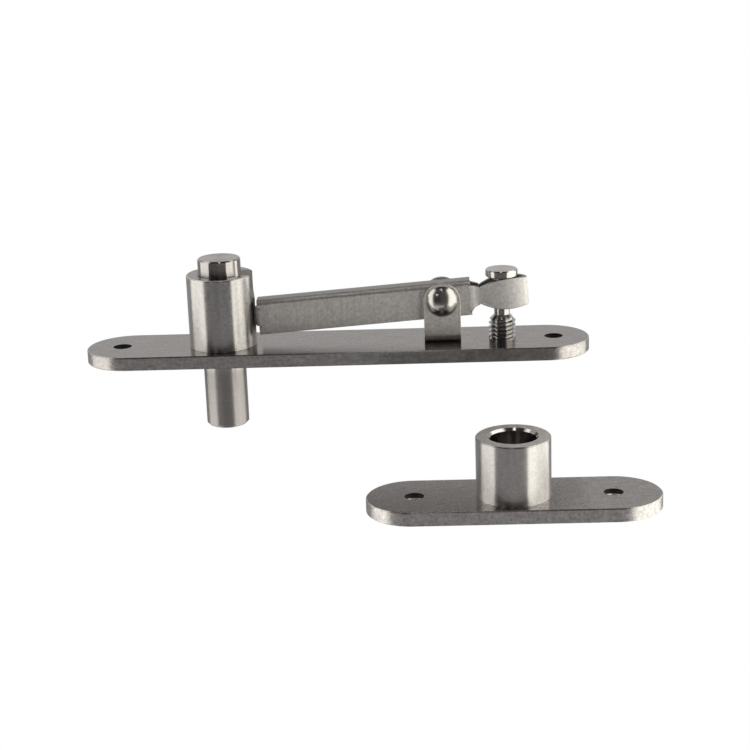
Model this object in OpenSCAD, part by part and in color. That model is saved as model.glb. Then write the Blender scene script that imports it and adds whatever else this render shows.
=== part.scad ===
// Retractable pivot hinge for a swing door, in stainless steel.
// The frame half carries a sliding pivot pin that a rocking lever lifts and lowers:
// turning the adjusting screw tips the lever about its rivet.  The door half is the
// socket that the pin drops into.  The two halves lie apart, as they are supplied.
//
// X runs along the frame plate from the pin towards the screw, Z runs up from the
// plate's seat face (Z = 0), and the origin is midway between the plate's two screws.

/* [Frame plate] */
// Length of the frame plate over its round ends
plate_len = 150; // [140:1:200]
// Width of both plates
plate_w = 26; // [24:0.5:34]
// Thickness of both plates
plate_t = 4; // [3:0.5:6]
// Distance between the frame plate's two screw holes
frame_screw_spacing = 129; // [124:1:132]
// Diameter of the plain part of every fixing hole
screw_hole_d = 5.5; // [4:0.5:6.5]
// Diameter of the countersink on the plates' show faces
countersink_d = 10.5; // [9:0.5:12]
// Chamfer that breaks the edges of the turned pieces and the plates
edge_break = 0.3; // [0.1:0.1:0.5]

/* [Pin and housing] */
// Distance from the middle of the frame plate to the pin's axis
pin_offset = 34; // [30:1:40]
// Diameter of the pivot pin
pin_d = 12.7; // [10:0.1:13.5]
// How far the extended pin stands out below the frame plate
pin_drop = 20.6; // [14:0.2:22]
// How far the extended pin stands above the housing's rim
pin_rise = 4.8; // [3:0.2:8]
// Chamfer on the pin's ends
pin_chamfer = 0.8; // [0.4:0.1:1.5]
// Radial play of the pin in its housing and in the door socket
pin_play = 0.06; // [0.02:0.01:0.1]
// Outside diameter of the pin housing
housing_d = 20; // [19:0.5:24]
// Height of the pin housing above the plate
housing_h = 21.7; // [20:0.1:26]
// Diameter of the spigots that seat the housing and the boss in their plates
spigot_d = 16; // [15:0.5:18]

/* [Housing slot] */
// Play between the lever's tongue and each side of the slots in the housing and the pin
tongue_play = 0.3; // [0.2:0.05:0.5]
// Width of the wide notch at the top of the housing's slot
notch_w = 7.2; // [5:0.1:8]
// Height of the notch's round floor above the plate
notch_floor = 13.2; // [12:0.1:15]

/* [Lever] */
// Distance from the pin's axis to the lever's rivet
arm_to_pin = 65.6; // [60:0.1:72]
// Distance from the lever's rivet to the adjusting screw
arm_to_screw = 17.7; // [17:0.1:20]
// Height of the rivet's axis above the plate
pivot_h = 12.45; // [11.5:0.05:14]
// Angle by which the lever stands up towards the screw when the pin is extended
lever_tilt = 4; // [2:0.25:5]
// Outside width of the lever's channel
lever_w = 6.7; // [6:0.1:8]
// Height of the lever's channel
lever_h = 10.3; // [8:0.1:11]
// Thickness of the lever's sheet
sheet = 1.2; // [1:0.1:1.4]
// Outside radius of the lever's long bends
lever_bend = 1.5; // [1.4:0.1:2.2]
// Gap between the channel's end and the pin housing
channel_gap = 0.95; // [0.9:0.05:6]
// Distance from the rivet to the channel's end at the screw side
channel_front = 8.6; // [8:0.1:9.5]

/* [Tongue] */
// Height of the tongue where it leaves the channel
tongue_h = 5.2; // [4:0.1:6]
// Diameter of the tongue's round head inside the pin
tongue_head_d = 8.2; // [7:0.1:9]
// Gap left between the two layers of the tongue
tongue_gap = 0.2; // [0.1:0.05:0.4]
// Middle radius of the tight bends that bring the cheeks together
jog_r = 0.9; // [0.8:0.05:1]

/* [Eye] */
// Half the clear gap at the pinch between the channel and the eye
pinch_gap = 1.65; // [1.3:0.05:2]
// Distance from the rivet to the pinch
pinch_at = 11.1; // [10.5:0.1:12.5]
// Half height of the sheet at the pinch
pinch_half_h = 2.7; // [2:0.05:3]
// Half height of the eye's barrel-shaped band at its tallest
eye_half_h = 4.55; // [3.8:0.05:4.8]
// How far the band's middle sits above the middle of the channel
eye_rise = 0.15; // [0:0.05:0.5]
// Play between the screw's neck and each side of the eye
eye_play = 0.25; // [0.15:0.05:0.4]
// How far the eye reaches past the screw's axis
eye_reach = 7.8; // [7:0.1:9]
// Middle radius of the bends that close the eye
eye_end_r = 2; // [1.6:0.1:2.2]
// Open seam between the two ends of the sheet at the closed end of the eye
eye_seam = 0.4; // [0.2:0.1:0.8]

/* [Bracket and rivets] */
// Width of the bracket's ears along the plate
ear_w = 10.8; // [10:0.1:13]
// Thickness of the bracket's sheet
bracket_sheet = 1.2; // [1:0.1:1.5]
// Outside radius of the bracket's bends
bracket_bend = 2.4; // [2:0.1:3]
// Play between the lever and each ear
side_play = 0.15; // [0.1:0.05:0.3]
// Diameter of the lever's rivet
rivet_d = 5; // [4:0.1:6]
// Radial play of the lever on its rivet
rivet_play = 0.05; // [0.03:0.01:0.1]
// Diameter of the domed heads of the lever's rivet
rivet_head_d = 9.2; // [8:0.1:10]
// Height of the domed heads
rivet_head_h = 2.3; // [2:0.1:4]
// Diameter of the rivet that fixes the bracket to the plate
base_rivet_d = 3.5; // [3:0.1:4]

/* [Adjusting screw] */
// Outside diameter of the screw's thread
thread_d = 8; // [7:0.5:9]
// Radial play of the thread in the plate
thread_play = 0.06; // [0.02:0.01:0.1]
// Diameter of the neck that the eye embraces
neck_d = 4.6; // [4:0.1:5]
// Length of the neck between the head and the shoulder
neck_len = 11.5; // [11:0.1:13]
// Diameter of the screw's flat head
head_d = 9.5; // [8.5:0.1:10.5]
// Thickness of the screw's flat head
head_t = 2.2; // [1.5:0.1:3]
// Gap between the eye and the underside of the head when the pin is extended
head_gap = 0.1; // [0.1:0.05:0.3]
// Depth of the screw's end inside the plate's show face
screw_recess = 0.5; // [0.2:0.1:1]

/* [Door half] */
// Length of the door plate over its round ends
door_len = 82; // [70:1:120]
// Distance between the door plate's two screw holes
door_screw_spacing = 55; // [45:1:60]
// Outside diameter of the socket boss
boss_d = 20.8; // [19:0.2:24]
// Height of the socket boss above the door plate
boss_h = 17; // [14:0.5:24]
// Chamfer at both mouths of the socket
mouth_chamfer = 0.7; // [0.4:0.1:1.2]
// Place of the socket's axis along the frame plate
door_x = 50; // [-60:1:80]
// Distance of the socket's axis in front of the frame plate
door_front = 48; // [30:1:120]
// Depth of the door plate's show face below the frame plate's seat face
door_down = 36; // [30:1:60]

/* [Hidden] */

ROUND = 96;      // facets of the turned pieces' circles
SMALL = 48;      // facets of small circles
BEND_STEPS = 8;  // facets of each bend in the lever's sheet
CUT = 1;         // how far a cutting solid runs past the face it cuts

STAINLESS = "#a9a6a1";
POLISHED = "#c9c7c2";
SHEET_STEEL = "#9c9994";

// Frame half: axes and heights
pin_x = -pin_offset;
rivet_x = pin_x + arm_to_pin;
screw_x = rivet_x + arm_to_screw;
bore_d = pin_d + 2*pin_play;
plate_back = -plate_t;

// Lever: the channel and its sheet
channel_back = arm_to_pin - housing_d/2 - channel_gap;
cheek_mid = (lever_w - sheet)/2;           // middle of a cheek's sheet
lever_half = lever_h/2;

// Lever: the tongue, whose round head lies on the pin's axis
head_u = -arm_to_pin/cos(lever_tilt);
tongue_mid = (tongue_gap + sheet)/2;
tongue_t = tongue_gap + 2*sheet;
jog_proud = 0.8;                           // how far the jog stands past the channel's end
jog_turn_u = -(channel_back + jog_proud - jog_r - sheet/2);
tongue_slot_w = tongue_t + 2*tongue_play;

// Lever: the eye round the screw's neck
pinch_mid = pinch_gap + sheet/2;
eye_mid = neck_d/2 + eye_play + sheet/2;
eye_lead = 0.4;                            // from the screw's axis to where the eye is widest
eye_u = arm_to_screw + eye_lead;
eye_end_u = arm_to_screw + eye_reach;
turn_in_lead = 0.7;                        // the cheeks turn in this far before the channel ends
neckdown_u = channel_front - turn_in_lead;
strip_step = 1.1;                          // how much higher than the cheek the strip starts
strip_low = strip_step - lever_half;
strip_high = lever_half - lever_bend;
relief = 0.3;                              // slits that let the strips bend
turn_in = 2*atan((cheek_mid - pinch_mid)/(pinch_at - neckdown_u));
turn_in_r = (pinch_at - neckdown_u)/(2*sin(turn_in));
flare = 2*atan((eye_mid - pinch_mid)/(eye_u - pinch_at));
flare_r = (eye_u - pinch_at)/sin(flare);   // both arcs of the flare together
pinch_r = 6;                               // the flare's first arc, at the pinch
side_r = flare_r - pinch_r;                // the flare's second arc, at the widest point
end_run = eye_end_u - sheet/2 - eye_u - eye_end_r;
end_drop = eye_mid - eye_end_r;
close_r = (end_run*end_run + end_drop*end_drop)/(2*end_drop);
close_angle = asin(end_run/close_r);

// Lever: the eye's side outline is two arcs that meet at the tallest point
crown_lead = 1.7;                          // from the widest point to the tallest
crown_u = eye_u + crown_lead;
crown_back_r = 18;
crown_end_r = 29;

// Pin: its cross slot takes the tongue's head
pin_top = housing_h + pin_rise;
pin_tip = -plate_t - pin_drop;
window_z = pivot_h + head_u*sin(lever_tilt);
window_half = tongue_head_d/2 + tongue_play;

// Housing slot: narrow for the tongue, wide above it
tongue_low = pivot_h - (arm_to_pin - housing_d/2)*tan(lever_tilt) - tongue_h/2/cos(lever_tilt);
slot_floor = tongue_low - tongue_play - tongue_slot_w/4;

// Bracket
ear_gap = lever_w + 2*side_play;
bracket_w = ear_gap + 2*bracket_sheet;
base_head_d = 6.2;                         // the base rivet's countersunk head
base_bead_d = 1.8*base_rivet_d;            // and its peened bead on the bracket's floor
base_bead_h = 1.4;

// Screw: the head stops on the eye's upper edges
head_touch_u = arm_to_screw + head_d/2;
crown_drop = (head_touch_u - crown_u)*(head_touch_u - crown_u)/(2*crown_end_r);
head_z = pivot_h + head_touch_u*tan(lever_tilt)
    + (eye_half_h + eye_rise - crown_drop)/cos(lever_tilt) + head_gap;
shoulder_z = head_z - neck_len;
cone_h = (thread_d - neck_d)/2;
screw_end = plate_back + screw_recess;

// Door half
door_y = -door_front;
door_z = -door_down;

// ---------------------------------------------------------------- shapes in use

// A turned solid: radius against height, as a closed outline of [r, z] points.
module turned(outline, fn = ROUND) {
    rotate_extrude($fn = fn) polygon(outline);
}

// A round bar along Z whose ends are chamfered by c0 below and c1 above.
module round_bar(d, z0, z1, c0, c1, fn = ROUND) {
    turned([[0, z0], [d/2 - c0, z0], [d/2, z0 + c0], [d/2, z1 - c1],
            [d/2 - c1, z1], [0, z1]], fn);
}

// A plate with full-radius ends and broken edges, lying from z to z + plate_t.
module stadium_plate(len, z) {
    r = plate_w/2;
    half = len/2 - r;
    edge = [[0, z], [r - edge_break, z], [r, z + edge_break],
            [r, z + plate_t - edge_break], [r - edge_break, z + plate_t], [0, z + plate_t]];
    union() {
        for (side = [-1, 1]) translate([side*half, 0, 0]) turned(edge);
        for (side = [0, 1]) mirror([0, side, 0])
            rotate([90, 0, 90]) translate([0, 0, -half]) linear_extrude(2*half) polygon(edge);
    }
}

// A fixing hole with its countersink in the face at z, seen from below.
module countersunk_hole(x, z) {
    sink = (countersink_d - screw_hole_d)/2;
    translate([x, 0, z]) {
        translate([0, 0, -CUT]) cylinder(d = screw_hole_d, h = plate_t + 2*CUT, $fn = SMALL);
        translate([0, 0, -CUT])
            cylinder(r1 = countersink_d/2 + CUT, r2 = screw_hole_d/2, h = sink + CUT, $fn = SMALL);
    }
}

// A bored tube, d wide, standing h high on a spigot that fills the plate below Z = 0.
module seated_tube(d, h) {
    bore = bore_d/2;
    mouth = bore + mouth_chamfer;
    spigot = spigot_d/2;
    turned([[mouth, plate_back], [spigot, plate_back], [spigot, 0],
            [d/2, 0], [d/2, h - edge_break], [d/2 - edge_break, h],
            [mouth, h], [bore, h - mouth_chamfer], [bore, plate_back + mouth_chamfer]]);
}

// A U-section: w wide, open below, closed at top with outside radius r, in sheet s.
module channel_section(w, low, top, r, s) {
    difference() {
        rounded_top(w, low, top, r);
        rounded_top(w - 2*s, low - CUT, top - s, r - s);
    }
}

module rounded_top(w, low, top, r) {
    translate([-w/2, low]) square([w, top - r - low]);
    translate([-w/2 + r, low]) square([w - 2*r, top - low]);
    for (side = [-1, 1]) translate([side*(w/2 - r), top - r]) circle(r, $fn = SMALL);
}

// Extrudes an outline drawn in X and Z through the lever's or bracket's width.
module across(width) {
    rotate([90, 0, 0]) linear_extrude(width, center = true) children();
}

// Extrudes an outline drawn in Y and Z along X, from x0 to x1.
module along(x0, x1) {
    translate([x0, 0, 0]) rotate([90, 0, 90]) linear_extrude(x1 - x0) children();
}

// Points along one side of a bent sheet that runs towards +X.  Each bend of the path is
// [centre, middle radius, start angle, end angle], and off is how far to its left we are.
function sheet_side(path, off) = [
    for (arc = path, i = [0:BEND_STEPS])
        let (turn = arc[3] - arc[2], r = arc[1] + (turn > 0 ? -off : off),
             a = arc[2] + turn*i/BEND_STEPS)
        arc[0] + r*[cos(a), sin(a)]
];

function reversed(list) = [for (i = [len(list) - 1:-1:0]) list[i]];

// A bent sheet in plan, seen on its edge, from the point start to the path's end.
module bent_sheet(start, path, finish) {
    half = [0, sheet/2];
    left = concat([start + half], sheet_side(path, sheet/2), finish == undef ? [] : [finish + half]);
    right = concat([start - half], sheet_side(path, -sheet/2),
                   finish == undef ? [] : [finish - half]);
    polygon(concat(left, reversed(right)));
}

// A slot in Y and Z with a round floor, open upwards to z1.
module slot_outline(w, floor_z, z1) {
    translate([0, floor_z + w/2]) circle(w/2, $fn = SMALL);
    translate([-w/2, floor_z + w/2]) square([w, z1 - floor_z - w/2]);
}

// ---------------------------------------------------------------- frame half

module frame_plate() color(STAINLESS) {
    difference() {
        stadium_plate(plate_len, plate_back);
        for (side = [-1, 1]) countersunk_hole(side*frame_screw_spacing/2, plate_back);
        translate([pin_x, 0, plate_back - CUT])
            cylinder(d = spigot_d, h = plate_t + 2*CUT, $fn = ROUND);
        translate([screw_x, 0, plate_back - CUT])
            cylinder(d = thread_d + 2*thread_play, h = plate_t + 2*CUT, $fn = ROUND);
        translate([rivet_x, 0, 0]) base_rivet_solid();
    }
}

module pin_housing() color(STAINLESS) {
    open_top = housing_h + CUT;
    difference() {
        translate([pin_x, 0, 0]) seated_tube(housing_d, housing_h);
        along(pin_x, pin_x + housing_d) slot_outline(tongue_slot_w, slot_floor, open_top);
        along(pin_x, pin_x + housing_d) slot_outline(notch_w, notch_floor, open_top);
    }
}

module pivot_pin() color(STAINLESS) {
    difference() {
        translate([pin_x, 0, 0]) round_bar(pin_d, pin_tip, pin_top, pin_chamfer, pin_chamfer/2);
        along(pin_x - pin_d, pin_x + pin_d) translate([-tongue_slot_w/2, window_z - window_half])
            square([tongue_slot_w, 2*window_half]);
    }
}

module lever_bracket() color(SHEET_STEEL) {
    difference() {
        intersection() {
            along(rivet_x - ear_w/2, rivet_x + ear_w/2) mirror([0, 1])
                channel_section(bracket_w, -pivot_h - ear_w, 0, bracket_bend, bracket_sheet);
            across(2*bracket_w) {
                translate([rivet_x, pivot_h]) circle(ear_w/2, $fn = ROUND);
                translate([rivet_x - ear_w/2, 0]) square([ear_w, pivot_h]);
            }
        }
        translate([rivet_x, 0, pivot_h]) rotate([90, 0, 0])
            cylinder(d = rivet_d, h = 2*bracket_w, center = true, $fn = SMALL);
        translate([rivet_x, 0, 0]) base_rivet_solid();
    }
}

// The countersunk rivet through the plate and the bracket's floor.
module base_rivet_solid() {
    r = base_rivet_d/2;
    head = base_head_d/2;
    bead = base_bead_d/2;
    slope = base_bead_h/3;
    top = bracket_sheet + base_bead_h;
    turned([[0, plate_back], [head, plate_back], [r, plate_back + head - r],
            [r, bracket_sheet], [bead, bracket_sheet], [bead, top - slope],
            [bead - slope, top], [0, top]], SMALL);
}

module bracket_rivet() color(STAINLESS) translate([rivet_x, 0, 0]) base_rivet_solid();

module lever_rivet() color(POLISHED) {
    r = rivet_head_d/2;
    dome_r = (r*r + rivet_head_h*rivet_head_h)/(2*rivet_head_h);
    translate([rivet_x, 0, pivot_h]) rotate([90, 0, 0]) {
        cylinder(d = rivet_d, h = bracket_w, center = true, $fn = SMALL);
        for (side = [0, 1]) mirror([0, 0, side]) intersection() {
            translate([0, 0, bracket_w/2 + rivet_head_h - dome_r]) sphere(dome_r, $fn = ROUND);
            translate([0, 0, bracket_w/2]) cylinder(r = r + CUT, h = 2*rivet_head_h, $fn = ROUND);
        }
    }
}

// ---------------------------------------------------------------- the lever

module lever() color(SHEET_STEEL) {
    translate([rivet_x, 0, pivot_h]) rotate([0, -lever_tilt, 0]) difference() {
        union() {
            lever_channel();
            intersection() {
                linear_extrude(4*lever_h, center = true) for (side = [0, 1]) mirror([0, side]) {
                    tongue_plan();
                    eye_plan();
                }
                across(2*lever_w) {
                    tongue_side();
                    eye_side();
                }
            }
        }
        rotate([90, 0, 0])
            cylinder(d = rivet_d + 2*rivet_play, h = 2*lever_w, center = true, $fn = SMALL);
    }
}

// The channel, relieved at each end where the cheeks run on as narrower strips.
module lever_channel() {
    difference() {
        along(-channel_back, channel_front)
            channel_section(lever_w, -lever_half, lever_half, lever_bend, sheet);
        across(2*lever_w) {
            translate([-channel_back - CUT, -tongue_h/2 - relief])
                square([channel_back + CUT + jog_turn_u, tongue_h + 2*relief]);
            translate([neckdown_u, strip_low - relief])
                square([channel_front + CUT - neckdown_u, strip_high - strip_low + 2*relief]);
        }
    }
}

// Plan of one side of the tongue: straight from the pin, then a tight jog outwards.
module tongue_plan() {
    jog_in_u = jog_turn_u - jog_r;
    run_u = jog_in_u - jog_r;
    bent_sheet([head_u - tongue_head_d, tongue_mid],
               [[[run_u, tongue_mid + jog_r], jog_r, 270, 360],
                [[jog_turn_u, cheek_mid - jog_r], jog_r, 180, 90]],
               [jog_turn_u + sheet, cheek_mid]);
}

module tongue_side() {
    translate([head_u, 0]) circle(d = tongue_head_d, $fn = ROUND);
    translate([head_u, -tongue_h/2]) square([jog_turn_u + sheet - head_u, tongue_h]);
}

// Plan of one side of the eye: in to the pinch, out round the neck, and closed.
module eye_plan() {
    bent_sheet([neckdown_u - sheet, cheek_mid],
               [[[neckdown_u, cheek_mid - turn_in_r], turn_in_r, 90, 90 - turn_in],
                [[pinch_at, pinch_mid + turn_in_r], turn_in_r, 270 - turn_in, 270],
                [[pinch_at, pinch_mid + pinch_r], pinch_r, 270, 270 + flare],
                [[eye_u, eye_mid - side_r], side_r, 90 + flare, 90],
                [[eye_u, eye_mid - close_r - eye_end_r], close_r + eye_end_r,
                 90, 90 - close_angle],
                [[eye_end_u - sheet/2 - eye_end_r, 0], eye_end_r,
                 90 - close_angle, asin(eye_seam/2/eye_end_r)]]);
}

// Side outline of the strip from the channel through the pinch to the eye's end.
module eye_side() {
    bite_r = pinch_at - channel_front;
    difference() {
        polygon([[neckdown_u - sheet, strip_low], [pinch_at, strip_low],
                 [pinch_at, eye_rise + pinch_half_h], [channel_front, strip_high],
                 [neckdown_u - sheet, strip_high]]);
        translate([pinch_at, eye_rise - pinch_half_h - bite_r]) circle(bite_r, $fn = SMALL);
    }
    translate([0, eye_rise]) {
        barrel(pinch_at, crown_u, crown_back_r);
        barrel(crown_u, eye_end_u + CUT, crown_end_r);
    }
}

// The part between u0 and u1 of a lens whose arcs of radius r crown at crown_u.
module barrel(u0, u1, r) {
    intersection() {
        translate([crown_u, eye_half_h - r]) circle(r, $fn = 2*ROUND);
        translate([crown_u, r - eye_half_h]) circle(r, $fn = 2*ROUND);
        translate([u0, -r]) square([u1 - u0, 2*r]);
    }
}

// ---------------------------------------------------------------- the screw

module adjusting_screw() color(STAINLESS) {
    driver_w = 1.2;      // the screwdriver slot in the screw's end
    driver_deep = 1.8;
    end_chamfer = 0.6;
    r = thread_d/2;
    neck = neck_d/2;
    head = head_d/2;
    translate([screw_x, 0, 0]) difference() {
        turned([[0, screw_end], [r - end_chamfer, screw_end], [r, screw_end + end_chamfer],
                [r, shoulder_z - cone_h], [neck, shoulder_z], [neck, head_z],
                [head - edge_break, head_z], [head, head_z + edge_break],
                [head, head_z + head_t - edge_break], [head - edge_break, head_z + head_t],
                [0, head_z + head_t]]);
        translate([-thread_d, -driver_w/2, screw_end - CUT])
            cube([2*thread_d, driver_w, driver_deep + CUT]);
    }
}

// ---------------------------------------------------------------- door half

module door_plate() color(STAINLESS) {
    translate([door_x, door_y, door_z]) difference() {
        stadium_plate(door_len, 0);
        for (side = [-1, 1]) countersunk_hole(side*door_screw_spacing/2, 0);
        translate([0, 0, -CUT]) cylinder(d = spigot_d, h = plate_t + 2*CUT, $fn = ROUND);
    }
}

module socket_boss() color(STAINLESS) {
    translate([door_x, door_y, door_z + plate_t]) seated_tube(boss_d, boss_h);
}

frame_plate();
pin_housing();
pivot_pin();
lever_bracket();
bracket_rivet();
lever();
lever_rivet();
adjusting_screw();
door_plate();
socket_boss();
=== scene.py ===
# %% [markdown]
# # A retractable pivot hinge in satin stainless steel
#
# The hinge carries a swing door at its top corner.  One half is let into the head of the
# door frame: a plate with a turned housing, a pin that slides in it, and a rocking lever
# that lifts the pin when the adjusting screw is turned.  The other half is let into the
# top of the door: a shorter plate with the socket that the pin drops into.
#
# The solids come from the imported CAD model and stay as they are.  This lesson gives them
# their metal, cuts the screw's real thread, and sets up the room, the light and the camera.

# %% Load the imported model
import math

import bmesh
import bpy
from mathutils import Matrix, Vector


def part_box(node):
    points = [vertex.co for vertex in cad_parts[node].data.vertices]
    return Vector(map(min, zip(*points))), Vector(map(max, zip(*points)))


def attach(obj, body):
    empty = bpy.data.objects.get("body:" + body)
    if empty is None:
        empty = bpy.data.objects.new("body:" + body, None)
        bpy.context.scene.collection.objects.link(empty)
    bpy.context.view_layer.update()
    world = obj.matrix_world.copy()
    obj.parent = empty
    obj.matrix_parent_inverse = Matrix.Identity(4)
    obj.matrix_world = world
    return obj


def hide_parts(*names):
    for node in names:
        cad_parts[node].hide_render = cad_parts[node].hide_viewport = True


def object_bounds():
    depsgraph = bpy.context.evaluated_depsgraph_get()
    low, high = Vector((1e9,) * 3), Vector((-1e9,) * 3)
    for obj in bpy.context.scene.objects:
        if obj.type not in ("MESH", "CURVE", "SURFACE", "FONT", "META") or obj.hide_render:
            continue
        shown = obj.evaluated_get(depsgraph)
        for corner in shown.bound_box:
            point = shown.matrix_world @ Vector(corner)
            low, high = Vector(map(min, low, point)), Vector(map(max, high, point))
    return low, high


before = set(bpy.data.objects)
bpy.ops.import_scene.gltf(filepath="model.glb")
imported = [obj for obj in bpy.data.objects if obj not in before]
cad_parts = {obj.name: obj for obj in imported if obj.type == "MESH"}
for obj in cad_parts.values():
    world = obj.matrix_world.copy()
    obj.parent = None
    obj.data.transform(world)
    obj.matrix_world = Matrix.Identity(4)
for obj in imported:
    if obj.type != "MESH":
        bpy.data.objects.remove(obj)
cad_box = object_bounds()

MM = 0.001
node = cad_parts
low, high = cad_box
print("pieces:", ", ".join(sorted(node)))
print("size in mm:", [round(v / MM, 1) for v in high - low])

# %% [markdown]
# ## The camera
#
# The hinge is seen from the front and a little above, with a long lens, so that its long
# edges stay nearly parallel.  A short lens from close by would make the near plate look too
# large, so the camera stands half a metre off.
# The camera is turned by three angles: yaw to the side, pitch down and a slight roll.

# %% Camera
CAMERA_AT = Vector((29.8, -497.4, 136.0)) * MM
YAW, PITCH, ROLL = (math.radians(a) for a in (-2.168, 16.438, -2.045))
LENS_MM = 82.9
SENSOR_MM = 36

forward = Vector((math.sin(YAW) * math.cos(PITCH), math.cos(YAW) * math.cos(PITCH),
                  -math.sin(PITCH)))
level_right = Vector((math.cos(YAW), -math.sin(YAW), 0))
level_up = level_right.cross(forward)
right = level_right * math.cos(ROLL) + level_up * math.sin(ROLL)
up = level_up * math.cos(ROLL) - level_right * math.sin(ROLL)

camera_data = bpy.data.cameras.new("camera")
camera_data.lens = LENS_MM
camera_data.sensor_width = SENSOR_MM
camera_data.clip_start = 0.01
camera = bpy.data.objects.new("camera", camera_data)
aim = Matrix((right, up, -forward)).transposed().to_4x4()
camera.matrix_world = Matrix.Translation(CAMERA_AT) @ aim
bpy.context.scene.collection.objects.link(camera)
bpy.context.scene.camera = camera
print("camera looks down by", round(math.degrees(PITCH), 1), "degrees")

# %% [markdown]
# ## Small helpers
#
# Colours are written as the hex values a paint program shows, and one function turns them
# into the linear light values that a renderer works in.  One function adds a shader node
# with its settings and links, and returns it.

# %% Helpers
def linear(hex_colour):
    """The linear light values of an sRGB hex colour, with alpha 1."""
    parts = [int(hex_colour[i:i + 2], 16) / 255 for i in (1, 3, 5)]
    return [c / 12.92 if c <= 0.04045 else ((c + 0.055) / 1.055) ** 2.4 for c in parts] + [1.0]


def add(tree, kind, inputs=None, **settings):
    """Adds a node.  An input's value may be a number, a colour or another node's socket."""
    made = tree.nodes.new("ShaderNode" + kind)
    for name, value in settings.items():
        setattr(made, name, value)
    for key, value in (inputs or {}).items():
        if isinstance(value, bpy.types.NodeSocket):
            tree.links.new(value, made.inputs[key])
        else:
            made.inputs[key].default_value = value
    return made


def empty_material(name):
    """A material whose tree holds only its output."""
    material = bpy.data.materials.new(name)
    material.use_nodes = True
    tree = material.node_tree
    tree.nodes.clear()
    return material, tree, add(tree, "OutputMaterial")


# %% [markdown]
# ## The room and the light
#
# Bare metal has little colour of its own: it shows the room.  The room here is white, two
# tall soft boxes stand left and right, and a dark drape hangs in front, round the camera.
# Each turned piece then shows a dark middle, a bright band on either side and a grey edge,
# and the eye reads it as round.
#
# The room and its floor are plain white to the camera and in reflections.  The floor lies
# well below, as the hinge is held up to be seen, and keeps a share of its true shading, so
# that a soft shadow of the hinge stays on it.

# %% White room and floor
ROOM_WHITE = 1.0
SHADOW_SHARE = 0.2
FLOOR_DROP = 700 * MM
centre = (low + high) / 2
floor_z = low.z - FLOOR_DROP


world = bpy.data.worlds.new("white_room")
bpy.context.scene.world = world
world.use_nodes = True
room = world.node_tree
room.nodes.clear()
white = add(room, "Background", {"Color": linear("#ffffff"), "Strength": ROOM_WHITE})
add(room, "OutputWorld", {"Surface": white.outputs[0]})

# The floor glows only to rays that show it: the camera's, and those reflected or let through.
floor_material, tree, output = empty_material("white_floor")
matt = add(tree, "BsdfDiffuse", {"Color": linear("#ffffff")})
glow = add(tree, "Emission", {"Color": linear("#ffffff"), "Strength": ROOM_WHITE})
path = add(tree, "LightPath").outputs
seen = add(tree, "Math", {0: path["Is Camera Ray"], 1: path["Is Glossy Ray"]}, operation="ADD")
seen = add(tree, "Math", {0: seen.outputs[0], 1: path["Is Transmission Ray"]}, operation="ADD",
           use_clamp=True)
shown = add(tree, "Math", {0: seen.outputs[0], 1: 1 - SHADOW_SHARE}, operation="MULTIPLY")
mixed = add(tree, "MixShader", {0: shown.outputs[0], 1: matt.outputs[0], 2: glow.outputs[0]})
tree.links.new(mixed.outputs[0], output.inputs["Surface"])


def stage_piece(name, points, faces, material):
    """A piece of the studio, which isn't part of the hinge."""
    mesh = bpy.data.meshes.new(name)
    mesh.from_pydata(points, [], faces)
    mesh.materials.append(material)
    piece = bpy.data.objects.new(name, mesh)
    bpy.context.scene.collection.objects.link(piece)
    return piece


FLOOR_HALF = 6.0
floor_corners = [(x * FLOOR_HALF, y * FLOOR_HALF, floor_z)
                 for x, y in ((-1, -1), (1, -1), (1, 1), (-1, 1))]
stage_piece("floor", floor_corners, [(0, 1, 2, 3)], floor_material)
print("floor at", round(floor_z / MM), "mm")

# %% [markdown]
# The soft boxes and the drapes are panels of a round light tent about the hinge.  Each covers
# a range of directions, seen from the middle: degrees round the tent, then degrees above and
# below.  They are kept out of every camera's sight and cast no shadow, so that only the metal
# sees them.
#
# This is how a studio lights metal.  Two soft boxes stand left and right, and lean apart, so
# that the dark gap between them widens upwards.  The front drape hangs in the gap, darker on its
# left half, and ends at a grey table edge just below the lens.  Below that the white room shows
# again.  A lighter drape at the back is what the flat tops mirror.  Two small lamps in front of
# the drapes put a spark on the polished rivet and on the rim of the bore.  They stand nearer
# than the drapes, which would otherwise hide them.

# %% Panels of the light tent
TENT_RADIUS = 600 * MM
LOWEST, HIGHEST = -70, 58
LEFT_EDGE, RIGHT_EDGE = -56, 42
DRAPE_MIDDLE = -8
LEAN = 14
TABLE_TOP, TABLE_FRONT = -8, -26
LEFT_END, RIGHT_END = -112, 124
BACK_LOW, BACK_TOP = -4, 42
LAMP_RADIUS = 540 * MM
LAMP_LEFT = (-36, -30, 37, 42)
LAMP_OVER = (-9, 9, 70, 75)


def glowing(name, hex_colour, strength):
    """A material that only gives light."""
    material, tree, output = empty_material(name)
    light = add(tree, "Emission", {"Color": linear(hex_colour), "Strength": strength})
    tree.links.new(light.outputs[0], output.inputs["Surface"])
    return material


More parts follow.
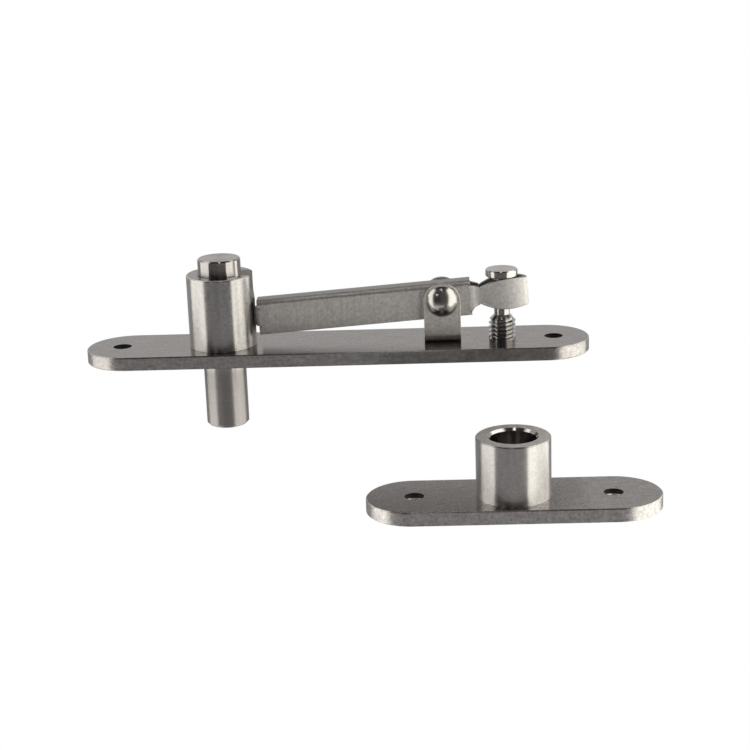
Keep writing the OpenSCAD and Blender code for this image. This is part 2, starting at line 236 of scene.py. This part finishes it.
def panel(name, start, end, bottom, top, material, lean=(0, 0), radius=TENT_RADIUS, steps=24):
    """A panel from start to end degrees round the tent, where 0 is the camera's side and + is
    right, and from bottom to top degrees above the middle.  Its two ends move by their lean
    over the height of the drapes."""
    points, faces = [], []
    for i in range(steps + 1):
        for j in range(steps + 1):
            rise = bottom + (top - bottom) * j / steps
            lift = max(rise, 0) / HIGHEST
            ends = start + lean[0] * lift, end + lean[1] * lift
            turn = math.radians(ends[0] + (ends[1] - ends[0]) * i / steps)
            rise = math.radians(rise)
            out = Vector((math.sin(turn) * math.cos(rise), -math.cos(turn) * math.cos(rise),
                          math.sin(rise)))
            points.append(centre + out * radius)
            if i and j:
                here = i * (steps + 1) + j
                faces.append((here - steps - 2, here - 1, here, here - steps - 1))
    made = stage_piece(name, points, faces, material)
    for sight in ("visible_camera", "visible_diffuse", "visible_shadow", "visible_transmission"):
        setattr(made, sight, False)


left_cloth = glowing("soft_box_left_cloth", "#fffef8", 2.3)
right_cloth = glowing("soft_box_right_cloth", "#fffef6", 2.7)
dark_cloth = glowing("drape_dark_cloth", "#fff8f8", 0.06)
dim_cloth = glowing("drape_dim_cloth", "#fff8f8", 0.13)
table_cloth = glowing("table_cloth", "#fffafa", 0.22)
grey_cloth = glowing("drape_grey_cloth", "#ffffff", 0.40)
back_cloth = glowing("drape_back_cloth", "#fffdfc", 0.74)
spark = glowing("small_lamp", "#ffffff", 8.0)
panel("soft_box_right", RIGHT_EDGE, RIGHT_END, LOWEST, HIGHEST, right_cloth, (LEAN, 0))
panel("soft_box_left", LEFT_END, LEFT_EDGE, LOWEST, HIGHEST, left_cloth, (0, -LEAN))
panel("drape_front_left", LEFT_EDGE, DRAPE_MIDDLE, TABLE_TOP, HIGHEST, dark_cloth, (-LEAN, 0))
panel("drape_front_right", DRAPE_MIDDLE, RIGHT_EDGE, TABLE_TOP, HIGHEST, dim_cloth, (0, LEAN))
panel("table_edge", LEFT_EDGE, RIGHT_EDGE, TABLE_FRONT, TABLE_TOP, table_cloth)
panel("drape_over", 0, 360, HIGHEST, 90, dark_cloth)
panel("drape_below", 0, 360, -90, LOWEST, dark_cloth)
panel("drape_back_low", RIGHT_END, 360 + LEFT_END, LOWEST, BACK_LOW, grey_cloth)
panel("drape_back", RIGHT_END, 360 + LEFT_END, BACK_LOW, BACK_TOP, back_cloth)
panel("drape_back_high", RIGHT_END, 360 + LEFT_END, BACK_TOP, HIGHEST, dark_cloth)
panel("small_lamp_left", *LAMP_LEFT, spark, radius=LAMP_RADIUS)
panel("small_lamp_top", *LAMP_OVER, spark, radius=LAMP_RADIUS)

# %% [markdown]
# ## Stainless steel
#
# Every piece is austenitic stainless steel, the common 304 grade.  What tells the pieces
# apart is how each surface was made.  Tools leave fine grooves, and a groove spreads light
# across itself: a turned surface smears reflections along its axis, a brushed plate smears
# them across the brushing.  The shader takes that as anisotropy along a tangent, and the
# tangent is worked out as the direction square to both the surface and the groove.

# %% Directions on the surface
X, Z = (1, 0, 0), (0, 0, 1)
RIM_WEIGHT = (2, 2, 2)   # a level face has no rim, so X decides there and the rim elsewhere


def spread_direction(tree, grooves, through):
    """The tangent, square to the surface and to its grooves.  These run "round" the upright line
    through a point, or "along" the piece and its rim, or "across" that."""
    coordinates = add(tree, "TexCoord").outputs
    normal = coordinates["Normal"]
    if grooves == "round":
        arm = add(tree, "VectorMath", {0: coordinates["Object"], 1: through}, operation="SUBTRACT")
        groove = add(tree, "VectorMath", {0: Z, 1: arm.outputs[0]}, operation="CROSS_PRODUCT")
    else:
        rim = add(tree, "VectorMath", {0: Z, 1: normal}, operation="CROSS_PRODUCT")
        groove = add(tree, "VectorMath", {0: rim.outputs[0], 1: RIM_WEIGHT, 2: X},
                     operation="MULTIPLY_ADD")
    spread = groove
    if grooves != "across":
        spread = add(tree, "VectorMath", {0: normal, 1: groove.outputs[0]},
                     operation="CROSS_PRODUCT")
    return add(tree, "VectorTransform", {0: spread.outputs[0]}, vector_type="VECTOR",
               convert_from="OBJECT", convert_to="WORLD").outputs[0]


def groove_place(tree, grooves, through, groove_mm, run_mm):
    """Where a point lies among the grooves, in groove widths across and runs along."""
    place = add(tree, "TexCoord").outputs["Object"]
    fine, long = 1 / (groove_mm * MM), 1 / (run_mm * MM)
    if grooves != "round":
        scales = (long, fine, fine) if grooves == "along" else (fine, fine, long)
        return add(tree, "VectorMath", {0: place, 1: scales}, operation="MULTIPLY").outputs[0]
    arm = add(tree, "VectorMath", {0: place, 1: through}, operation="SUBTRACT").outputs[0]
    level = add(tree, "VectorMath", {0: arm, 1: (1, 1, 0)}, operation="MULTIPLY").outputs[0]
    radius = add(tree, "VectorMath", {0: level}, operation="LENGTH").outputs["Value"]
    height = add(tree, "SeparateXYZ", {0: arm}).outputs["Z"]
    rings = add(tree, "CombineXYZ", {0: height, 1: radius}).outputs[0]
    runs = add(tree, "VectorMath", {0: level, 1: (long, long, long)},
               operation="MULTIPLY").outputs[0]
    return add(tree, "VectorMath", {0: rings, 1: (fine, fine, fine), 2: runs},
               operation="MULTIPLY_ADD").outputs[0]


# %% [markdown]
# Two noises keep the metal from looking like plastic.  One is drawn out along the grooves and
# stands for the tool marks: real ones are about 0.05 mm apart, and they are drawn as coarse
# as they need to be to show.  The other is an even mottle, left by tumbling and handling.
# Both change the colour a little, and the mottle changes the roughness too.  Where a part has
# been tumbled or its edges are broken, a Bevel node rounds them, and an edge that turns is
# rubbed smoother than the faces beside it, so that it catches the light as a thin line.

# %% Steel
NOISE = {1: 0.3, 2: 0.7}     # the part of a noise's range that is stretched
LEVEL = {1: 0.6, 2: 0.95}    # how far a face that counts as level looks up or down
BEND = {1: 0.05, 2: 0.3}     # how far a bend does
TURN = {1: 0.75, 2: 0.98}    # how well a rounded edge still agrees with its face
MOTTLE_GRAIN = 0.9 * MM
MOTTLE_ROUGH = 0.12          # the share by which the mottle changes the roughness
RUBBED = 0.35                # the share of its roughness that an edge keeps
FOOT_FADE = 4 * MM
BEVEL_SAMPLES = 6


def steel(name, hex_colour, roughness, anisotropy, grooves, through=None, end_roughness=None,
          end_painted_shade=1.0, bend_roughness=None, foot=None, groove_mm=0.35, run_mm=12.0,
          streaks=0.05, mottle=0.10, bump_um=8.0, edge_mm=0):
    """Stainless steel.  Faces that look up or down may have another roughness and a painted shade,
    a factor on their colour that stands in for light, the bends towards them a third roughness,
    and the foot, given as its height in millimetres and its roughness, a fourth."""
    material, tree, output = empty_material(name)
    grain = groove_place(tree, grooves, through, groove_mm, run_mm)
    streak = add(tree, "TexNoise", {"Vector": grain, "Scale": 1.0, "Detail": 3.0,
                                    "Roughness": 0.6}).outputs["Fac"]
    place = add(tree, "TexCoord").outputs["Object"]
    cloud = add(tree, "TexNoise", {"Vector": place, "Scale": 1 / MOTTLE_GRAIN, "Detail": 3.0,
                                   "Roughness": 0.75}).outputs["Fac"]
    streaked = add(tree, "MapRange", {0: streak, **NOISE, 3: 1 - streaks, 4: 1 + streaks})
    clouded = add(tree, "MapRange", {0: cloud, **NOISE, 3: 1 - mottle, 4: 1 + mottle})
    facing = add(tree, "SeparateXYZ", {0: add(tree, "TexCoord").outputs["Normal"]}).outputs["Z"]
    level = add(tree, "Math", {0: facing}, operation="ABSOLUTE").outputs[0]
    # Painted shade: faces that look up or down have their colour scaled by the end shade factor,
    # which the shade below multiplies in with the streaks and the mottle.
    ends = add(tree, "MapRange", {0: level, **LEVEL, 3: 1.0, 4: end_painted_shade})
    shade = add(tree, "Math", {0: streaked.outputs[0], 1: clouded.outputs[0]}, operation="MULTIPLY")
    shade = add(tree, "Math", {0: shade.outputs[0], 1: ends.outputs[0]}, operation="MULTIPLY")
    colour = add(tree, "VectorMath", {0: linear(hex_colour)[:3], "Scale": shade.outputs[0]},
                 operation="SCALE").outputs[0]
    bent = add(tree, "MapRange", {0: level, **BEND, 3: roughness,
                                  4: bend_roughness or roughness}).outputs[0]
    base = add(tree, "MapRange", {0: level, **LEVEL, 3: bent,
                                  4: end_roughness or roughness}).outputs[0]
    if foot:
        height = add(tree, "SeparateXYZ", {0: place}).outputs["Z"]
        foot_top, foot_roughness = foot[0] * MM, foot[1]
        base = add(tree, "MapRange", {0: height, 1: foot_top, 2: foot_top + FOOT_FADE,
                                      3: foot_roughness, 4: base}).outputs[0]
    uneven = add(tree, "MapRange", {0: cloud, **NOISE, 3: 1 - MOTTLE_ROUGH,
                                    4: 1 + MOTTLE_ROUGH}).outputs[0]
    rough = add(tree, "Math", {0: uneven, 1: base}, operation="MULTIPLY").outputs[0]
    relief = {"Height": streak, "Distance": bump_um * 1e-6, "Strength": 1.0}
    if edge_mm:
        rounded = add(tree, "Bevel", {"Radius": edge_mm * MM}, samples=BEVEL_SAMPLES).outputs[0]
        relief["Normal"] = rounded
        flat = add(tree, "NewGeometry").outputs["Normal"]
        agreement = add(tree, "VectorMath", {0: rounded, 1: flat},
                        operation="DOT_PRODUCT").outputs["Value"]
        worn = add(tree, "MapRange", {0: agreement, **TURN, 3: RUBBED, 4: 1.0}).outputs[0]
        rough = add(tree, "Math", {0: rough, 1: worn}, operation="MULTIPLY").outputs[0]
    bump = add(tree, "Bump", relief).outputs[0]
    surface = add(tree, "BsdfPrincipled",
                  {"Base Color": colour, "Metallic": 1.0, "Roughness": rough,
                   "Anisotropic": anisotropy, "Tangent": spread_direction(tree, grooves, through),
                   "Normal": bump})
    tree.links.new(surface.outputs[0], output.inputs["Surface"])
    return material


def clothe(name, material):
    """Gives a CAD node's own mesh a material."""
    mesh = node[name].data
    mesh.materials.clear()
    mesh.materials.append(material)


def middle(name):
    """The middle of a node's box, a point on the axis of a turned piece."""
    bottom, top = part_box(name)
    return (bottom + top) / 2


# %% [markdown]
# ## Brushed plate
#
# Both plates are flat bar, brushed along their length with an abrasive belt.  The long front
# edge then shows no reflection with an outline, only an even grey, while the round ends roll
# quickly from dark to bright, which tells the eye how thick and how round they are.  The flat
# faces are smoother, so they mirror the back of the room and the pieces that stand on them, and
# those of the frame's plate are painted a little darker, a painted shade.  Belt marks 0.05 mm
# apart would vanish at this size, so they are drawn 1 mm wide.  The door's plate is paler and
# comes off a coarser belt.

# %% Brushed plate
# The end shade on the frame's plate is a painted shade that darkens its flat faces.
plate_steel = steel("stainless_plate_brushed", "#a09c9a", 0.40, 0.9, "along", end_roughness=0.18,
                    end_painted_shade=0.82, groove_mm=1.0, run_mm=7.0, streaks=0.16, mottle=0.30)
door_steel = steel("stainless_plate_brushed_coarse", "#aca8a6", 0.42, 0.9, "along",
                   end_roughness=0.28, groove_mm=1.0, run_mm=4.0, streaks=0.14, mottle=0.36)
clothe("frame_plate", plate_steel)
clothe("bracket_rivet", plate_steel)
clothe("door_plate", door_steel)

# %% [markdown]
# ## Turned and ground bar
#
# The housing, the socket's boss, the pin and the screw are turned from bar.  The lathe's rings
# run round the axis, so each surface smears light along the axis and keeps it sharp around:
# tall soft bands with crisp sides, the sign of a round bar.  The housing's rim is a faced ring,
# painted a little darker than its wall as a painted shade, and mirrors the pin.  The pin is
# ground after turning: its bands have more contrast and its end is nearly a mirror, and its
# foot is duller from use.  The boss has the coarsest cut, so that its bands are the softest.

# %% Turned and ground bar
# The end shade on the housing is a painted shade that darkens its rim.
housing_steel = steel("stainless_bar_turned_housing", "#a6a3a1", 0.30, 0.97, "round",
                      middle("pin_housing"), end_roughness=0.14, end_painted_shade=0.54,
                      mottle=0.16, edge_mm=0.3)
boss_steel = steel("stainless_bar_turned_boss", "#a8a5a3", 0.32, 0.96, "round",
                   middle("socket_boss"), end_roughness=0.60, mottle=0.16)
pin_steel = steel("stainless_bar_ground_pin", "#999593", 0.20, 0.97, "round", middle("pivot_pin"),
                  end_roughness=0.16, foot=(-8, 0.45))
screw_steel = steel("stainless_bar_turned_screw", "#aaa7a5", 0.22, 0.8, "round",
                    middle("adjusting_screw"), end_roughness=0.18)
clothe("pin_housing", housing_steel)
clothe("socket_boss", boss_steel)
clothe("pivot_pin", pin_steel)

# %% [markdown]
# ## Folded sheet and rivet
#
# The lever and its bracket are stamped from sheet, folded and tumbled with ceramic chips.
# Tumbling leaves a matt, even satin, which reads as soft beside the bright bars.  The press rubs
# the outside of each bend smoother, so the bend mirrors the dark drape and draws a line along
# the lever's top.  The rivet's dome is polished by the tool that forms it: it is the one mirror
# here, and shows the two boxes, the drape and both sparks.

# %% Folded sheet and rivet
# The end shade on the sheet is a painted shade that darkens its faces that look up or down.
sheet_steel = steel("stainless_sheet_tumbled", "#bdbab8", 0.55, 0.6, "across",
                    end_roughness=0.62, end_painted_shade=0.75, bend_roughness=0.34, streaks=0.07,
                    mottle=0.22, edge_mm=0.3)
rivet_steel = steel("stainless_rivet_polished", "#a4a19e", 0.22, 0.0, "along", streaks=0.01,
                    mottle=0.03, bump_um=0.5)
clothe("lever", sheet_steel)
clothe("lever_bracket", sheet_steel)
clothe("lever_rivet", rivet_steel)
print("materials:", len(bpy.data.materials))

# %% [markdown]
# ## Holes, the slot and the socket
#
# A drilled hole is rough, and its wall is painted near black, a painted shade for the dark
# inside of the hole.  A milled slot is matt, and painted pale, a painted light on its walls.
# The socket's bore is reamed to fit the pin: its chamfer shines as two crescents round a dark
# mouth.  The ring round it is faced flat and blasted, and painted pale, a painted light that
# gives it an even grey.  These faces get their own material on the same mesh, picked by where
# they lie and which way they face.

# %% Holes, the slot and the socket
# The hole's near black colour is a painted shade.
hole_painted_shade_steel = steel("stainless_hole_painted_shade", "#2a2827", 0.55, 0.3, "across")
# The slot's pale colour is a painted light.
slot_painted_light_steel = steel("stainless_slot_milled_painted_light", "#c8c5c2", 0.60, 0.0, "along")
reamed_steel = steel("stainless_bore_reamed", "#a6a3a1", 0.16, 0.6, "round", middle("socket_boss"))
# The ring's pale colour is a painted light.
ring_painted_light_steel = steel("stainless_ring_blasted_painted_light", "#d0cdca", 0.50, 0.0, "along", mottle=0.18)
FRAME_HOLES, DOOR_HOLES = 129 * MM, 55 * MM
HOLE_REACH = 2.9 * MM
SLOT_NEAR, SLOT_FAR = 7.4 * MM, 9.8 * MM
BORE_REACH = 7.8 * MM
RING_REACH = 12 * MM
LEVEL_FACE = 0.99


def recoat(name, material, axis_points, near, far, level=False):
    """Gives the upright or level faces between two distances from an upright axis a material."""
    mesh = node[name].data
    mesh.materials.append(material)
    count = 0
    for face in mesh.polygons:
        spot = node[name].matrix_world @ face.center
        gap = min(math.hypot(spot.x - p.x, spot.y - p.y) for p in axis_points)
        if near < gap < far and (abs(face.normal.z) > LEVEL_FACE) == level:
            face.material_index = len(mesh.materials) - 1
            count += 1
    print(name, "faces given", material.name, ":", count)


def screw_holes(name, spacing):
    """The axes of a plate's two screw holes."""
    return [middle(name) + Vector((side * spacing / 2, 0, 0)) for side in (-1, 1)]


recoat("frame_plate", hole_painted_shade_steel, screw_holes("frame_plate", FRAME_HOLES), 0, HOLE_REACH)
recoat("door_plate", hole_painted_shade_steel, screw_holes("door_plate", DOOR_HOLES), 0, HOLE_REACH)
recoat("pin_housing", slot_painted_light_steel, [middle("pin_housing")], SLOT_NEAR, SLOT_FAR)
recoat("socket_boss", reamed_steel, [middle("socket_boss")], 0, BORE_REACH)
recoat("socket_boss", ring_painted_light_steel, [middle("socket_boss")], 0, RING_REACH, level=True)

# %% [markdown]
# ## The adjusting screw
#
# The screw is turned from bar: a threaded foot, a cone, a thin neck and a flat head under
# which the lever's eye hangs.  Its thread is the one shape that the solids leave plain, so
# this piece stands in for that solid.  A thread is a form swept up a helix: the mesh is one
# long strip whose every turn ends where the next begins, and it is cut off by the outline
# of the bar.

# %% Screw sizes, in millimetres
THREAD_PITCH = 1.25
THREAD_R, THREAD_DEEP = 4.0, 0.77
END_CHAMFER, CONE_H, EDGE = 0.6, 1.7, 0.3
NECK_R, NECK_LEN = 2.3, 11.5
HEAD_R, HEAD_T = 4.75, 2.2
SLOT_WIDE, SLOT_DEEP = 1.2, 1.8
CUT_PAST = 1
WELD = 1e-4
SHARP_ANGLE = math.radians(35)
TURN_STEPS = 72
# The 60 degree thread form over one pitch: (share of the pitch, share of the depth).
FORM = [(0, 0), (1 / 16, 0), (6 / 16, 1), (10 / 16, 1), (15 / 16, 0)]

screw_low, screw_high = (corner.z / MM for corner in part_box("adjusting_screw"))
head_z = screw_high - HEAD_T
shoulder_z = head_z - NECK_LEN
print("thread from", round(screw_low, 2), "to", round(shoulder_z - CONE_H, 2), "mm")

# %% Thread
def outline(z):
    """The bar's radius at a height below the shoulder."""
    return min(THREAD_R, THREAD_R - END_CHAMFER + z - screw_low, NECK_R + shoulder_z - z)


def thread_point(step, form):
    """A point of the strip, in millimetres."""
    share, deep = FORM[form]
    z = screw_low - THREAD_PITCH + THREAD_PITCH * (step / TURN_STEPS + share)
    inside = screw_low < z < shoulder_z
    z = min(max(z, screw_low), shoulder_z)
    radius = min(outline(z), THREAD_R - THREAD_DEEP * deep) if inside else outline(z)
    angle = 2 * math.pi * step / TURN_STEPS
    return radius * math.cos(angle), radius * math.sin(angle), z


def ring(radius, z):
    """A level ring of points, in millimetres."""
    return [(radius * math.cos(2 * math.pi * i / TURN_STEPS),
             radius * math.sin(2 * math.pi * i / TURN_STEPS), z) for i in range(TURN_STEPS)]


turns = math.ceil((shoulder_z - screw_low) / THREAD_PITCH) + 2
steps = TURN_STEPS * turns
width = len(FORM)
points = [thread_point(step, form)
          for step in range(steps + TURN_STEPS + 1) for form in range(width)]
faces = []
for step in range(steps):
    for form in range(width):
        beside = (step, form + 1) if form + 1 < width else (step + TURN_STEPS, 0)
        corner = [(step, form), (step + 1, form), (beside[0] + 1, beside[1]), beside]
        faces.append([s * width + f for s, f in corner])

rest = [(NECK_R, shoulder_z), (NECK_R, head_z), (HEAD_R - EDGE, head_z), (HEAD_R, head_z + EDGE),
        (HEAD_R, screw_high - EDGE), (HEAD_R - EDGE, screw_high)]
first = len(points)
for radius, z in rest:
    points += ring(radius, z)
for row in range(len(rest) - 1):
    for i in range(TURN_STEPS):
        low_row, high_row = first + row * TURN_STEPS, first + (row + 1) * TURN_STEPS
        after = (i + 1) % TURN_STEPS
        faces.append([low_row + i, low_row + after, high_row + after, high_row + i])
faces.append(list(range(len(points) - TURN_STEPS, len(points))))
foot = len(points)
points += ring(outline(screw_low), screw_low)
faces.append(list(range(foot, foot + TURN_STEPS))[::-1])
print("thread turns:", round((shoulder_z - CONE_H - screw_low) / THREAD_PITCH, 1))

# %% Screw mesh and driver slot
screw_axis = middle("adjusting_screw")
place = Matrix.Translation((screw_axis.x, screw_axis.y, 0)) @ Matrix.Scale(MM, 4)


def mesh_piece(name, points, faces):
    """An object made of points in millimetres from the screw's axis, with doubles welded."""
    mesh = bpy.data.meshes.new(name)
    mesh.from_pydata(points, [], faces)
    shape = bmesh.new()
    shape.from_mesh(mesh)
    bmesh.ops.remove_doubles(shape, verts=shape.verts, dist=WELD)
    bmesh.ops.recalc_face_normals(shape, faces=shape.faces)
    shape.transform(place)
    shape.to_mesh(mesh)
    shape.free()
    piece = bpy.data.objects.new(name, mesh)
    bpy.context.scene.collection.objects.link(piece)
    return piece


screw = mesh_piece("threaded_screw", points, faces)
half, reach = SLOT_WIDE / 2, 2 * THREAD_R
box_points = [(x, y, z) for z in (screw_low - CUT_PAST, screw_low + SLOT_DEEP)
              for x, y in ((-reach, -half), (reach, -half), (reach, half), (-reach, half))]
box_faces = [(3, 2, 1, 0), (4, 5, 6, 7), (0, 1, 5, 4), (1, 2, 6, 5), (2, 3, 7, 6), (3, 0, 4, 7)]
cutter = mesh_piece("driver_slot", box_points, box_faces)
cut = screw.modifiers.new("driver_slot", "BOOLEAN")
cut.operation = "DIFFERENCE"
cut.object = cutter
view_layer = bpy.context.view_layer
view_layer.update()
screw.data = bpy.data.meshes.new_from_object(screw.evaluated_get(view_layer.depsgraph))
screw.modifiers.clear()
bpy.data.objects.remove(cutter)

screw.data.shade_smooth()
screw.data.set_sharp_from_angle(angle=SHARP_ANGLE)
screw.data.materials.clear()
screw.data.materials.append(screw_steel)
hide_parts("adjusting_screw")
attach(screw, "screw")
print("screw faces:", len(screw.data.polygons))

# %% [markdown]
#
# The Standard view shows each colour as it is written.

# %% Finish
bpy.context.scene.view_settings.view_transform = "Standard"
